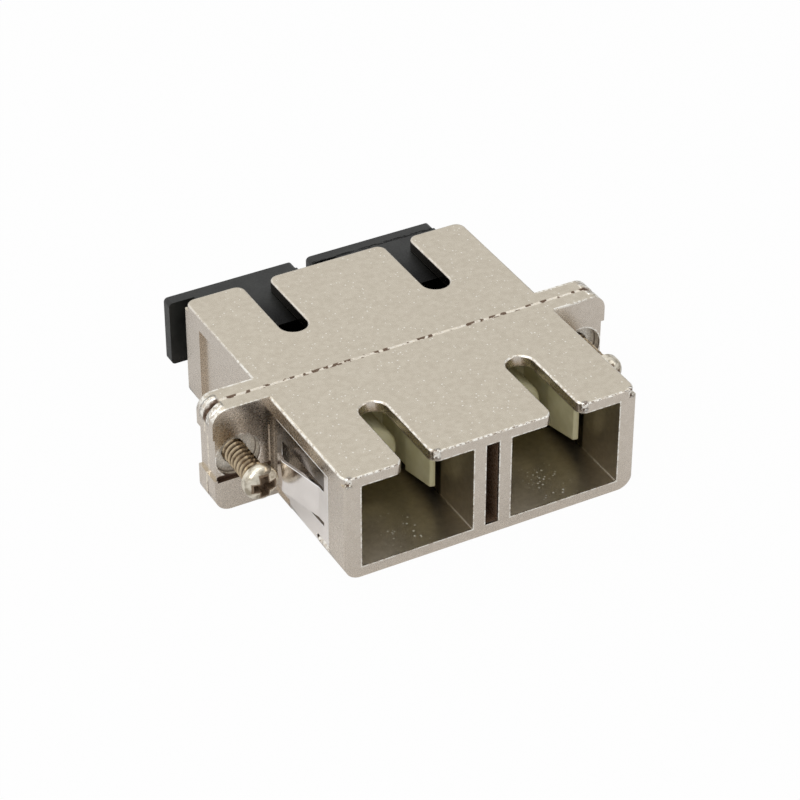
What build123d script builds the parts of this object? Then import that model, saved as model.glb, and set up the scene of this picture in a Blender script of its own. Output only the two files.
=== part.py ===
"""Duplex fibre optic adapter: two die-cast housing halves that meet at a screw flange,
with latch inserts, split sleeves, a panel clip, two flange screws and two dust caps.

Millimetres, +Z up. The origin is the middle of the flange seam, on the plane that holds
both fibre axes. X runs across the ports, -Y is the open front and +Y the capped rear.
"""

from build123d import *
import math
import os

os.makedirs("parts", exist_ok=True)

# Optical layout
PORT_PITCH = 12.7
FERRULE_DIAMETER = 2.5

# Housing body, one half on each side of the seam
BODY_WIDTH = 25.0
BODY_HEIGHT = 9.24
HALF_LENGTH = 13.55
BOTTOM_CORNER_RADIUS = 1.3
TOP_EDGE_RADIUS = 0.2
END_CORNER_RADIUS = 0.15
TOP_CORNER_RADIUS = 0.8
TOP_CORNER_DEPTH = 0.62
SEAM_CHAMFER = 0.08

# Ports and the slot that splits the web between them
PORT_WIDTH = 9.44
PORT_HEIGHT = 7.4
PORT_CORNER_RADIUS = 0.12
WEB_SLOT_WIDTH = 1.1
SEAM_WALL = 1.6

# Key slots in the top wall
KEY_SLOT_WIDTH = 2.3
KEY_SLOT_END = 5.55
KEY_MOUTH_RADIUS = 0.8

# Screw axes, set off from the body's flanks
SCREW_TO_FLANK = 2.65
SCREW_SPACING = BODY_WIDTH + 2 * SCREW_TO_FLANK

# Flange ears
EAR_END_MARGIN = 2.1
EAR_SPAN = SCREW_SPACING + 2 * EAR_END_MARGIN
EAR_THICKNESS = 1.4
EAR_CORNER_RADIUS = 1.3
EAR_BAND_TOP = 2.1
EAR_BAND_BOTTOM = -1.7
EAR_BAND_INSET = 0.2
EAR_BAND_SINK = 0.15
LEDGE_GROOVE_LENGTH = 2.6
LEDGE_GROOVE_HEIGHT = 0.45
LEDGE_GROOVE_DEPTH = 0.4
SEAM_NOTCH_DEPTH = 0.14

# Flange screws and their holes
SCREW_DIAMETER = 1.9
SCREW_LENGTH = 6.0
SCREW_CLEARANCE = 0.1
SCREW_HEAD_DIAMETER = 2.9
SCREW_HEAD_RIM = 0.45
SCREW_HEAD_HEIGHT = 1.25
SCREW_SEAT_Y = -4.65
CROSS_SPAN = 2.2
CROSS_ARM = 0.7
CROSS_DEPTH = 0.8
COUNTERBORE_DIAMETER = 3.7
COUNTERBORE_DEPTH = 0.9

# Side recess and bottom channel that hold the clip
SHEET_THICKNESS = 0.3
SHEET_CLEARANCE = 0.02
RECESS_SINK = 0.35
RECESS_END = 10.95
RECESS_TOP = 3.35
RECESS_BOTTOM = -3.15
LEDGE_DROP = 0.5
CHANNEL_START = 4.3
CHANNEL_END = 9.1

# Panel clip
PLATE_START = 2.5
PLATE_END_CLEARANCE = 0.1
PLATE_TOP_CLEARANCE = 0.1
PLATE_BOTTOM = -3.1
STRAP_CLEARANCE = 0.15
TONGUE_WIDTH = 2.84
TONGUE_SLIT = 0.36
TONGUE_ROOT = 9.35
TONGUE_CREST = 5.2
TONGUE_TIP = 4.15
TONGUE_HEAD_CLEARANCE = 0.25
TONGUE_TIP_FALL = 0.2
TONGUE_BEND_RADIUS = 0.8
WINDOW_START = 3.35
WINDOW_END = 10.15

# Latch inserts
SEAT_WIDTH = 10.3
SEAT_HEIGHT = 7.9
SEAT_DEPTH = 1.2
SEAT_CORNER_RADIUS = 0.4
SEAT_CLEARANCE = 0.05
HOLDER_DIAMETER = 4.6
HOLDER_LENGTH = 6.1
HOLDER_EDGE_RADIUS = 0.35
HOLDER_LIP = 0.5
HOLDER_MOUTH_DIAMETER = 2.9
ARM_INNER = 3.7
ARM_THICKNESS = 0.45
ARM_END = 8.2
HOOK_INNER = 3.4
HOOK_THICKNESS = 0.45
HOOK_START = 5.3
HOOK_END = 9.3
ARM_ROOT_HEIGHT = 6.1
HOOK_TIP_HEIGHT = 4.24
HOOK_LEAD_IN = 0.12

# Split sleeves
SLEEVE_DIAMETER = 3.2
SLEEVE_CLEARANCE = 0.05
SLEEVE_END_CLEARANCE = 0.06
SLEEVE_SPLIT = 0.35

# Dust caps, standing a little way out of the rear ports
PLUG_CLEARANCE = 0.08
CAP_GAP = 1.55
CAP_RIM_WIDTH = 11.4
CAP_RIM_HEIGHT = 5.8
CAP_RIM_THICKNESS = 1.0
CAP_RIM_OFFSET = -1.1
CAP_RIM_RADIUS = 0.35
PLUG_LENGTH = 5.3
NOSE_WIDTH = 6.2
NOSE_LENGTH = 1.5
PLUG_WALL = 0.9
PLUG_FLOOR = 1.0

FRONT = -1
REAR = 1
BODY_TOP = BODY_HEIGHT / 2
PORT_TOP = PORT_HEIGHT / 2
PORT_X = {"left": -PORT_PITCH / 2, "right": PORT_PITCH / 2}
SCREW_X = {"left": -SCREW_SPACING / 2, "right": SCREW_SPACING / 2}
HOLE_RADIUS = SCREW_DIAMETER / 2 + SCREW_CLEARANCE


def seam_plane(side, distance=0.0):
    """The seam as seen from one end: local Z points out of that end, local Y up."""
    return Plane(origin=(0, side * distance, 0), x_dir=(-side, 0, 0), z_dir=(0, side, 0))


def flank_plane(side, x):
    """A lengthwise upright plane at x, with local X pointing out of one end."""
    return Plane(origin=(x, 0, 0), x_dir=(0, side, 0), z_dir=(1, 0, 0))


def body_outline(inset=0.0):
    """The body's section with its lower corners round, or that section sunk by an inset."""
    with BuildSketch() as outline:
        Rectangle(BODY_WIDTH - 2 * inset, BODY_HEIGHT - 2 * inset)
        fillet(outline.vertices().group_by(Axis.Y)[0], BOTTOM_CORNER_RADIUS - inset)
    return outline.sketch


def body_plan(corner_radius):
    """The whole body from above, with its four upright end corners round."""
    with BuildSketch() as plan:
        RectangleRounded(BODY_WIDTH, 2 * HALF_LENGTH, corner_radius)
    return plan.sketch


def recess_outline(across):
    """Section of a flank recess: upright floor and a ledge that slopes out below."""
    flank = across * BODY_WIDTH / 2
    floor = flank - across * RECESS_SINK
    outside = flank + across * RECESS_SINK
    with BuildSketch(Plane.XZ) as outline:
        with BuildLine():
            Polyline(
                (outside, RECESS_TOP),
                (floor, RECESS_TOP),
                (floor, RECESS_BOTTOM),
                (outside, RECESS_BOTTOM - 2 * LEDGE_DROP),
                close=True,
            )
        make_face()
    return outline.sketch


def ear_outline():
    """Both ears in one section: rounded corners and a narrower middle band."""
    band_height = EAR_BAND_TOP - EAR_BAND_BOTTOM
    band_middle = (EAR_BAND_TOP + EAR_BAND_BOTTOM) / 2
    with BuildSketch() as outline:
        Rectangle(EAR_SPAN, BODY_HEIGHT)
        fillet(outline.vertices(), EAR_CORNER_RADIUS)
        with Locations((-EAR_SPAN / 2, band_middle), (EAR_SPAN / 2, band_middle)):
            Rectangle(2 * EAR_BAND_INSET, band_height, mode=Mode.SUBTRACT)
    return outline.sketch


def key_slot(side, port_x):
    """Plan of one key slot: round inner end, open mouth with rounded corners."""
    half_width = KEY_SLOT_WIDTH / 2
    centre = KEY_SLOT_END + half_width
    reach = 1.0
    with BuildSketch(Plane.XY.offset(BODY_TOP)) as slot:
        with Locations((port_x, side * centre)):
            Circle(half_width)
        with Locations((port_x, side * (centre + HALF_LENGTH) / 2)):
            Rectangle(KEY_SLOT_WIDTH, HALF_LENGTH - centre)
        with Locations((port_x, side * (HALF_LENGTH + reach / 2))):
            Rectangle(KEY_SLOT_WIDTH + 4 * KEY_MOUTH_RADIUS, reach)
        mouth = [
            corner
            for corner in slot.vertices()
            if math.isclose(abs(corner.X - port_x), half_width, abs_tol=1e-4)
            and math.isclose(abs(corner.Y), HALF_LENGTH, abs_tol=1e-4)
        ]
        fillet(mouth, KEY_MOUTH_RADIUS)
    return slot.sketch


def seam_notch(across):
    """Wedge that opens the seam at one upper ear corner, deepest at mid-corner."""
    chord_middle = EAR_CORNER_RADIUS / 2
    origin = (across * (EAR_SPAN / 2 - chord_middle), 0, BODY_TOP - chord_middle)
    corner_plane = Plane(origin=origin, x_dir=(across, 0, 1), z_dir=(1, 0, -across))
    width = 0.55
    height = 0.7
    with BuildPart() as notch:
        with BuildSketch(corner_plane):
            with BuildLine():
                Polyline((-SEAM_NOTCH_DEPTH, 0), (height, width), (height, -width), close=True)
            make_face()
        extrude(amount=2 * EAR_CORNER_RADIUS, both=True)
    return notch.part


def housing_half(side, name):
    """One die-cast half, from the seam out to its ports."""
    seam = seam_plane(side)
    outward = Axis((0, 0, 0), (0, side, 0))
    ear_face = seam_plane(side, EAR_THICKNESS)
    port_spots = [(port_x, 0) for port_x in PORT_X.values()]
    with BuildPart() as half:
        with BuildSketch(seam):
            add(body_outline())
        extrude(amount=HALF_LENGTH)
        add(body_plan(END_CORNER_RADIUS))
        extrude(amount=BODY_HEIGHT, both=True, mode=Mode.INTERSECT)
        # Rounder corners in the top wall, down to a small step above the ports
        with BuildSketch(Plane.XY.offset(BODY_TOP - TOP_CORNER_DEPTH)):
            Rectangle(BODY_WIDTH + 1, 2 * HALF_LENGTH + 1)
            add(body_plan(TOP_CORNER_RADIUS), mode=Mode.SUBTRACT)
        extrude(amount=BODY_HEIGHT, mode=Mode.SUBTRACT)
        # Key slots through the top wall, with the rims of the whole top face round
        for port_x in PORT_X.values():
            add(key_slot(side, port_x))
            extrude(amount=-(BODY_TOP - PORT_TOP), mode=Mode.SUBTRACT)
        top_edges = half.faces().sort_by(Axis.Z)[-1].edges()
        fillet(top_edges.filter_by(lambda edge: abs(edge.center().Y) > SEAM_CHAMFER), TOP_EDGE_RADIUS)
        with BuildSketch(seam):
            add(ear_outline())
        extrude(amount=EAR_THICKNESS)
        chamfer(half.faces().sort_by(outward)[0].edges(), SEAM_CHAMFER)
        # Through ports, and the pockets at the seam that hold the latch inserts
        with BuildSketch(seam):
            with Locations(*port_spots):
                RectangleRounded(PORT_WIDTH, PORT_HEIGHT, PORT_CORNER_RADIUS)
        extrude(amount=HALF_LENGTH, mode=Mode.SUBTRACT)
        with BuildSketch(seam):
            with Locations(*port_spots):
                RectangleRounded(SEAT_WIDTH, SEAT_HEIGHT, SEAT_CORNER_RADIUS)
        extrude(amount=SEAT_DEPTH, mode=Mode.SUBTRACT)
        # Blind slot that splits the web between the ports
        with BuildSketch(seam_plane(side, SEAM_WALL)):
            Rectangle(WEB_SLOT_WIDTH, PORT_HEIGHT)
        extrude(amount=HALF_LENGTH - SEAM_WALL, mode=Mode.SUBTRACT)
        # Recess on each flank, and the channel that joins them under the body
        recess_faces = []
        for across in (-1, 1):
            for section in recess_outline(across).faces():
                recess_faces.append(section.moved(Location((0, side * EAR_THICKNESS, 0))))
        extrude(
            recess_faces,
            amount=RECESS_END - EAR_THICKNESS,
            dir=(0, side, 0),
            mode=Mode.SUBTRACT,
        )
        with BuildSketch(seam_plane(side, CHANNEL_START)):
            with Locations((0, RECESS_BOTTOM)):
                Rectangle(BODY_WIDTH + 1, BODY_HEIGHT / 2, align=(Align.CENTER, Align.MAX))
            add(body_outline(RECESS_SINK), mode=Mode.SUBTRACT)
        extrude(amount=CHANNEL_END - CHANNEL_START, mode=Mode.SUBTRACT)
        # Ear faces: sunk band, groove under it, and the counterbored screw holes
        band_width = EAR_SPAN / 2 - BODY_WIDTH / 2
        groove_outer = EAR_SPAN / 2 - EAR_BAND_INSET - 0.05
        for across in (-1, 1):
            with BuildSketch(ear_face):
                with Locations((across * (BODY_WIDTH / 2 + band_width / 2), EAR_BAND_BOTTOM)):
                    Rectangle(
                        band_width,
                        EAR_BAND_TOP - EAR_BAND_BOTTOM,
                        align=(Align.CENTER, Align.MIN),
                    )
            extrude(amount=-EAR_BAND_SINK, mode=Mode.SUBTRACT)
            with BuildSketch(ear_face):
                with Locations((across * (groove_outer - LEDGE_GROOVE_LENGTH / 2), EAR_BAND_BOTTOM)):
                    Rectangle(LEDGE_GROOVE_LENGTH, LEDGE_GROOVE_HEIGHT)
            extrude(amount=-LEDGE_GROOVE_DEPTH, mode=Mode.SUBTRACT)
            add(seam_notch(across), mode=Mode.SUBTRACT)
        hole_spots = [ear_face.location * Location((x, 0, 0)) for x in SCREW_X.values()]
        with Locations(*hole_spots):
            CounterBoreHole(
                radius=HOLE_RADIUS,
                counter_bore_radius=COUNTERBORE_DIAMETER / 2,
                counter_bore_depth=COUNTERBORE_DEPTH,
                depth=EAR_THICKNESS,
            )
    half.part.label = name
    return half.part


def latch_insert(side, port_x, name):
    """Moulded insert: seat plate, sleeve holder tube and two sprung latch arms."""
    seam = seam_plane(side)
    outward = Axis((0, 0, 0), (0, side, 0))
    local_x = -side * port_x
    bore_radius = SLEEVE_DIAMETER / 2 + SLEEVE_CLEARANCE
    taper = (ARM_ROOT_HEIGHT - HOOK_TIP_HEIGHT) / (HOOK_END - HOOK_START)
    arm_tip_height = ARM_ROOT_HEIGHT - taper * (ARM_END - HOOK_START)
    with BuildPart() as insert:
        with BuildSketch(seam):
            with Locations((local_x, 0)):
                RectangleRounded(
                    SEAT_WIDTH - 2 * SEAT_CLEARANCE,
                    SEAT_HEIGHT - 2 * SEAT_CLEARANCE,
                    SEAT_CORNER_RADIUS - SEAT_CLEARANCE,
                )
        extrude(amount=SEAT_DEPTH - SEAT_CLEARANCE)
        with BuildSketch(seam):
            with Locations((local_x, 0)):
                Circle(HOLDER_DIAMETER / 2)
        extrude(amount=HOLDER_LENGTH)
        fillet(insert.faces().sort_by(outward)[-1].edges(), HOLDER_EDGE_RADIUS)
        for across in (-1, 1):
            arm_x = port_x + across * (ARM_INNER + ARM_THICKNESS / 2)
            with BuildSketch(flank_plane(side, arm_x)):
                with BuildLine():
                    Polyline(
                        (0, -ARM_ROOT_HEIGHT / 2),
                        (HOOK_START, -ARM_ROOT_HEIGHT / 2),
                        (ARM_END, -arm_tip_height / 2),
                        (ARM_END, arm_tip_height / 2),
                        (HOOK_START, ARM_ROOT_HEIGHT / 2),
                        (0, ARM_ROOT_HEIGHT / 2),
                        close=True,
                    )
                make_face()
            extrude(amount=ARM_THICKNESS / 2, both=True)
            hook_x = port_x + across * (HOOK_INNER + HOOK_THICKNESS / 2)
            with BuildSketch(flank_plane(side, hook_x)):
                with BuildLine():
                    Polyline(
                        (HOOK_START, -ARM_ROOT_HEIGHT / 2),
                        (HOOK_END, -HOOK_TIP_HEIGHT / 2),
                        (HOOK_END, HOOK_TIP_HEIGHT / 2),
                        (HOOK_START, ARM_ROOT_HEIGHT / 2),
                        close=True,
                    )
                make_face()
            extrude(amount=HOOK_THICKNESS / 2, both=True)
        tips = insert.faces().sort_by(outward)[-2:]
        for tip in tips:
            lead_in = tip.edges().filter_by(Axis.Z).sort_by(
                lambda edge: abs(edge.center().X - port_x)
            )[0]
            chamfer(lead_in, HOOK_LEAD_IN, 2 * HOOK_LEAD_IN)
        with BuildSketch(seam):
            with Locations((local_x, 0)):
                Circle(bore_radius)
        extrude(amount=HOLDER_LENGTH - HOLDER_LIP, mode=Mode.SUBTRACT)
        with BuildSketch(seam):
            with Locations((local_x, 0)):
                Circle(HOLDER_MOUTH_DIAMETER / 2)
        extrude(amount=HOLDER_LENGTH, mode=Mode.SUBTRACT)
    insert.part.label = name
    return insert.part


def split_sleeve(port_x, name):
    """Springy tube, split along its top, that lines up the two ferrules."""
    half_length = HOLDER_LENGTH - HOLDER_LIP - SLEEVE_END_CLEARANCE
    with BuildPart() as sleeve:
        with BuildSketch(Plane.XZ):
            with Locations((port_x, 0)):
                Circle(SLEEVE_DIAMETER / 2)
                Circle(FERRULE_DIAMETER / 2, mode=Mode.SUBTRACT)
                Rectangle(
                    SLEEVE_SPLIT,
                    SLEEVE_DIAMETER,
                    align=(Align.CENTER, Align.MIN),
                    mode=Mode.SUBTRACT,
                )
        extrude(amount=half_length, both=True)
    sleeve.part.label = name
    return sleeve.part


def panel_clip():
    """One folded sheet: a plate and tongue on each flank, joined by a strap below."""
    lift = RECESS_SINK - SHEET_CLEARANCE
    plate_x = BODY_WIDTH / 2 - lift + SHEET_THICKNESS / 2
    head_edge = SCREW_SPACING / 2 - SCREW_HEAD_DIAMETER / 2
    crest_x = head_edge - TONGUE_HEAD_CLEARANCE - SHEET_THICKNESS / 2
    plate_end = RECESS_END - PLATE_END_CLEARANCE
    plate_top = RECESS_TOP - PLATE_TOP_CLEARANCE
    strap_start = CHANNEL_START + STRAP_CLEARANCE
    strap_end = CHANNEL_END - STRAP_CLEARANCE
    window_height = TONGUE_WIDTH + 2 * TONGUE_SLIT
    with BuildPart() as clip:
        for across in (-1, 1):
            with Locations((across * plate_x, -(PLATE_START + plate_end) / 2, PLATE_BOTTOM)):
                Box(
                    SHEET_THICKNESS,
                    plate_end - PLATE_START,
                    plate_top - PLATE_BOTTOM,
                    align=(Align.CENTER, Align.CENTER, Align.MIN),
                )
            with Locations((across * plate_x, -(WINDOW_START + WINDOW_END) / 2, 0)):
                Box(
                    2 * SHEET_THICKNESS,
                    WINDOW_END - WINDOW_START,
                    window_height,
                    mode=Mode.SUBTRACT,
                )
            with BuildSketch():
                with BuildLine() as run:
                    FilletPolyline(
                        (across * plate_x, -(WINDOW_END + SHEET_THICKNESS)),
                        (across * plate_x, -TONGUE_ROOT),
                        (across * crest_x, -TONGUE_CREST),
                        (across * (crest_x - TONGUE_TIP_FALL), -TONGUE_TIP),
                        radius=TONGUE_BEND_RADIUS,
                    )
                trace(run.line, line_width=SHEET_THICKNESS)
            extrude(amount=TONGUE_WIDTH / 2, both=True)
        with BuildSketch(seam_plane(FRONT, strap_start)):
            with Locations((0, PLATE_BOTTOM + SHEET_THICKNESS)):
                Rectangle(BODY_WIDTH + 1, BODY_HEIGHT / 2, align=(Align.CENTER, Align.MAX))
            add(body_outline(lift - SHEET_THICKNESS), mode=Mode.INTERSECT)
            add(body_outline(lift), mode=Mode.SUBTRACT)
        extrude(amount=strap_end - strap_start)
    clip.part.label = "panel_clip"
    return clip.part


def flange_screw(screw_x, name):
    """Pan-head screw with a cross recess, backed part of the way out of its ear."""
    head_radius = SCREW_HEAD_DIAMETER / 2
    rim_front = -SCREW_HEAD_RIM
    crown = -SCREW_HEAD_HEIGHT
    crown_flat = head_radius / 3
    profile_plane = Plane(origin=(screw_x, SCREW_SEAT_Y, 0), x_dir=(1, 0, 0), z_dir=(0, 0, 1))
    with BuildPart() as screw:
        with BuildSketch(profile_plane):
            with BuildLine():
                Polyline(
                    (0, SCREW_LENGTH),
                    (SCREW_DIAMETER / 2 - 0.2, SCREW_LENGTH),
                    (SCREW_DIAMETER / 2, SCREW_LENGTH - 0.2),
                    (SCREW_DIAMETER / 2, 0),
                    (head_radius, 0),
                    (head_radius, rim_front),
                )
                ThreePointArc(
                    (head_radius, rim_front),
                    (0.8 * head_radius, rim_front + 0.66 * (crown - rim_front)),
                    (crown_flat, crown),
                )
                Line((crown_flat, crown), (0, crown))
                Line((0, crown), (0, SCREW_LENGTH))
            make_face()
        revolve(axis=Axis((screw_x, 0, 0), (0, 1, 0)))
        with BuildSketch(seam_plane(FRONT, -SCREW_SEAT_Y + SCREW_HEAD_HEIGHT)):
            with Locations((screw_x, 0)):
                Rectangle(CROSS_SPAN, CROSS_ARM)
                Rectangle(CROSS_ARM, CROSS_SPAN)
        extrude(amount=-CROSS_DEPTH, taper=12, mode=Mode.SUBTRACT)
    screw.part.label = name
    return screw.part


def dust_cap(port_x, name):
    """Moulded cap: hollow plug with a narrower nose, and an offset pull rim."""
    rim_start = HALF_LENGTH + CAP_GAP
    plug_width = PORT_WIDTH - 2 * PLUG_CLEARANCE
    plug_height = PORT_HEIGHT - 2 * PLUG_CLEARANCE
    plug_start = rim_start - PLUG_LENGTH
    nose_start = plug_start - NOSE_LENGTH
    rim_level = plug_height / 2 - CAP_RIM_HEIGHT / 2
    pocket_depth = rim_start - PLUG_FLOOR - nose_start
    local_x = -port_x
    with BuildPart() as cap:
        with BuildSketch(seam_plane(REAR, plug_start)):
            with Locations((local_x, 0)):
                RectangleRounded(plug_width, plug_height, PORT_CORNER_RADIUS)
        extrude(amount=PLUG_LENGTH)
        with BuildSketch(seam_plane(REAR, nose_start)):
            with Locations((local_x, 0)):
                RectangleRounded(NOSE_WIDTH, plug_height, PORT_CORNER_RADIUS)
        extrude(amount=NOSE_LENGTH)
        with BuildSketch(seam_plane(REAR, rim_start)):
            with Locations((local_x - CAP_RIM_OFFSET, rim_level)):
                RectangleRounded(CAP_RIM_WIDTH, CAP_RIM_HEIGHT, CAP_RIM_RADIUS)
        extrude(amount=CAP_RIM_THICKNESS)
        with BuildSketch(seam_plane(REAR, nose_start)):
            with Locations((local_x, 0)):
                RectangleRounded(
                    NOSE_WIDTH - 2 * PLUG_WALL,
                    plug_height - 2 * PLUG_WALL,
                    PORT_CORNER_RADIUS,
                )
        extrude(amount=pocket_depth, mode=Mode.SUBTRACT)
    cap.part.label = name
    return cap.part


pieces = [
    housing_half(FRONT, "front_housing"),
    housing_half(REAR, "rear_housing"),
    panel_clip(),
]
for hand, port_x in PORT_X.items():
    pieces.append(latch_insert(FRONT, port_x, f"front_{hand}_latch"))
    pieces.append(latch_insert(REAR, port_x, f"rear_{hand}_latch"))
    pieces.append(split_sleeve(port_x, f"{hand}_sleeve"))
    pieces.append(dust_cap(port_x, f"{hand}_dust_cap"))
for hand, screw_x in SCREW_X.items():
    pieces.append(flange_screw(screw_x, f"{hand}_screw"))

for piece in pieces:
    export_step(piece, f"parts/{piece.label}.step")
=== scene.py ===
# %% [markdown]
# # A duplex fibre optic adapter
# Two die-cast, nickel plated halves meet at a flange. Four cream latch inserts, two split
# sleeves, a folded spring clip, two screws and two black dust caps complete it. The solids
# come from the shared frame. This lesson gives each of them its finish, models the screws
# anew with real threads, and sets the camera and the light of a product photograph.

# %% Load the frame
import math

import bpy
from mathutils import Matrix, Vector


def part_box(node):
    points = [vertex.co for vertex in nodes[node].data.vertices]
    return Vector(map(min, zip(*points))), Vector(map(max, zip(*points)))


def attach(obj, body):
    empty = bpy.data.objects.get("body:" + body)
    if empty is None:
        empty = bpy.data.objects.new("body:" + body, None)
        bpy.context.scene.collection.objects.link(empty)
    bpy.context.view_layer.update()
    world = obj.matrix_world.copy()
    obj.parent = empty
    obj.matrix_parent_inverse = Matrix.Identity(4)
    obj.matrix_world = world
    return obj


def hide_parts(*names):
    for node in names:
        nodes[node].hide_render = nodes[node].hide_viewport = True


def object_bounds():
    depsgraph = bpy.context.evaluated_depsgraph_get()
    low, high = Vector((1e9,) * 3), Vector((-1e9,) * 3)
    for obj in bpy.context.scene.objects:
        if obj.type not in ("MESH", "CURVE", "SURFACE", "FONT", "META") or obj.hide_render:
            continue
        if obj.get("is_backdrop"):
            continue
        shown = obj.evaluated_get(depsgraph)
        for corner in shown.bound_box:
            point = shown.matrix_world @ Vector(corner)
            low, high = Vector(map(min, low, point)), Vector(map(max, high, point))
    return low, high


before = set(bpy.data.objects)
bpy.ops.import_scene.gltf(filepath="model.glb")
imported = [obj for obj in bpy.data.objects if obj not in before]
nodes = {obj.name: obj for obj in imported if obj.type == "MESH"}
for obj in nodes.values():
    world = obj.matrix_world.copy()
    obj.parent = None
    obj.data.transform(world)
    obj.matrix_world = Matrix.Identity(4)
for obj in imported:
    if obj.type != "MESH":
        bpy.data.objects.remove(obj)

MM = 0.001
size_log = {"start": [list(corner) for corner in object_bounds()]}
print("nodes:", sorted(nodes))
print("size in mm:", [round((b - a) / MM, 2) for a, b in zip(*size_log["start"])])

# %% [markdown]
# Operators act on everything that is selected, and the loader leaves the frame's nodes
# selected. So the first helper clears the selection, and the next one selects a piece
# alone. The last one puts a piece's place into its mesh, which leaves the object itself at
# the origin, unturned and unscaled, as every finished piece here has to be.


# %% Selection helpers
def clear_selection():
    """Goes back to object mode with nothing selected."""
    if bpy.context.object and bpy.context.object.mode != "OBJECT":
        bpy.ops.object.mode_set(mode="OBJECT")
    bpy.ops.object.select_all(action="DESELECT")


def make_active(piece):
    """Selects one piece alone."""
    clear_selection()
    piece.select_set(True)
    bpy.context.view_layer.objects.active = piece


def settle(piece, name):
    """Names a new piece and moves its place into its mesh."""
    make_active(piece)
    bpy.ops.object.transform_apply(location=True, rotation=True, scale=True)
    piece.name = name
    piece.data.name = name
    return piece


clear_selection()
print("selected now:", len(bpy.context.selected_objects))

# %% [markdown]
# A finish starts as one Principled shader. Its patterns could follow a UV map, but the
# solids have none, so they read Object coordinates. Those are scaled from metres to
# millimetres, so that every limit below is a size that can be measured on the part.


# %% A new finish
class Finish:
    """A Principled material that knows places in millimetres and which way a face looks."""

    def __init__(self, name, metallic=0.0, roughness=0.5):
        self.material = bpy.data.materials.new(name)
        self.material.use_nodes = True
        self.tree = self.material.node_tree
        self.shader = self.tree.nodes["Principled BSDF"]
        self.shader.inputs["Metallic"].default_value = metallic
        self.shader.inputs["Roughness"].default_value = roughness
        coordinates = self.tree.nodes.new("ShaderNodeTexCoord")
        in_mm = self.tree.nodes.new("ShaderNodeVectorMath")
        in_mm.operation = "SCALE"
        in_mm.inputs["Scale"].default_value = 1 / MM
        self.join(coordinates.outputs["Object"], in_mm.inputs[0])
        self.place = in_mm.outputs["Vector"]
        self.x, self.y, self.z = self.parts_of(self.place)
        geometry = self.tree.nodes.new("ShaderNodeNewGeometry")
        self.upward = self.parts_of(geometry.outputs["True Normal"])[2]

    def parts_of(self, vector):
        """The three numbers of a vector."""
        node = self.tree.nodes.new("ShaderNodeSeparateXYZ")
        self.join(vector, node.inputs[0])
        return node.outputs[:]

    def join(self, value, socket):
        """Links an output, or sets a plain value."""
        if isinstance(value, bpy.types.NodeSocket):
            self.tree.links.new(value, socket)
        else:
            socket.default_value = value

    def set(self, **sockets):
        """Links or sets shader sockets by their names."""
        for name, value in sockets.items():
            self.join(value, self.shader.inputs[name.replace("_", " ")])


def colour(red, green, blue):
    """An opaque colour from three linear values."""
    return (red, green, blue, 1.0)


print("a finish reads places in units of", MM, "m")

# %% [markdown]
# Two kinds of pattern are enough for the whole part. Soft noise makes grain, clouds and
# drawn lines, which are noise stretched along one axis. Scattered specks come from a cell
# pattern: each cell has a random shade, and the shade decides how large its speck is.


# %% Noise and specks
def noise(finish, scale, detail=3.0, roughness=0.5, stretch=None):
    """Soft grain of so many features per millimetre."""
    node = finish.tree.nodes.new("ShaderNodeTexNoise")
    node.inputs["Scale"].default_value = scale
    node.inputs["Detail"].default_value = detail
    node.inputs["Roughness"].default_value = roughness
    source = finish.place
    if stretch:
        mapping = finish.tree.nodes.new("ShaderNodeMapping")
        mapping.inputs["Scale"].default_value = stretch
        finish.join(finish.place, mapping.inputs["Vector"])
        source = mapping.outputs["Vector"]
    finish.join(source, node.inputs["Vector"])
    return node.outputs["Fac"]


def specks(finish, scale, share, largest):
    """1 inside scattered round specks, in this share of the cells of a pattern."""
    node = finish.tree.nodes.new("ShaderNodeTexVoronoi")
    node.inputs["Scale"].default_value = scale
    finish.join(finish.place, node.inputs["Vector"])
    shade = finish.tree.nodes.new("ShaderNodeSeparateColor")
    finish.join(node.outputs["Color"], shade.inputs[0])
    size = fade(finish, shade.outputs[0], 1.0 - share, 1.0, 0.0, largest)
    return maths(finish, "LESS_THAN", node.outputs["Distance"], size)


print("patterns: noise and specks")

# %% [markdown]
# Masks say where a layer of a finish lies. Each one is a number from 0 to 1, and most are
# ramps on a height, a width or a length. Multiplied, ramps leave the patch they share, and
# the highest of several masks joins their patches.


# %% Masks
def maths(finish, operation, first, second=0.0):
    """One sum on two values."""
    node = finish.tree.nodes.new("ShaderNodeMath")
    node.operation = operation
    finish.join(first, node.inputs[0])
    finish.join(second, node.inputs[1])
    return node.outputs[0]


def fade(finish, value, low, high, start=0.0, end=1.0):
    """Maps low..high smoothly to start..end and holds the ends."""
    node = finish.tree.nodes.new("ShaderNodeMapRange")
    node.interpolation_type = "SMOOTHSTEP"
    finish.join(value, node.inputs["Value"])
    node.inputs["From Min"].default_value = low
    node.inputs["From Max"].default_value = high
    node.inputs["To Min"].default_value = start
    node.inputs["To Max"].default_value = end
    return node.outputs["Result"]


def above(finish, value, limit, soft=0.05):
    """1 above a limit."""
    return fade(finish, value, limit - soft, limit + soft)


def below(finish, value, limit, soft=0.05):
    """1 below a limit."""
    return fade(finish, value, limit - soft, limit + soft, 1.0, 0.0)


def between(finish, value, low, high, soft=0.05):
    """1 between two limits."""
    return where_all(finish, above(finish, value, low, soft), below(finish, value, high, soft))


def where_all(finish, *masks):
    """The patch that all the masks share."""
    patch = masks[0]
    for mask in masks[1:]:
        patch = maths(finish, "MULTIPLY", patch, mask)
    return patch


def where_any(finish, *masks):
    """All the masks' patches together."""
    patches = masks[0]
    for mask in masks[1:]:
        patches = maths(finish, "MAXIMUM", patches, mask)
    return patches


def other_than(finish, mask):
    """1 where a mask is 0."""
    return maths(finish, "SUBTRACT", 1.0, mask)


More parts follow.
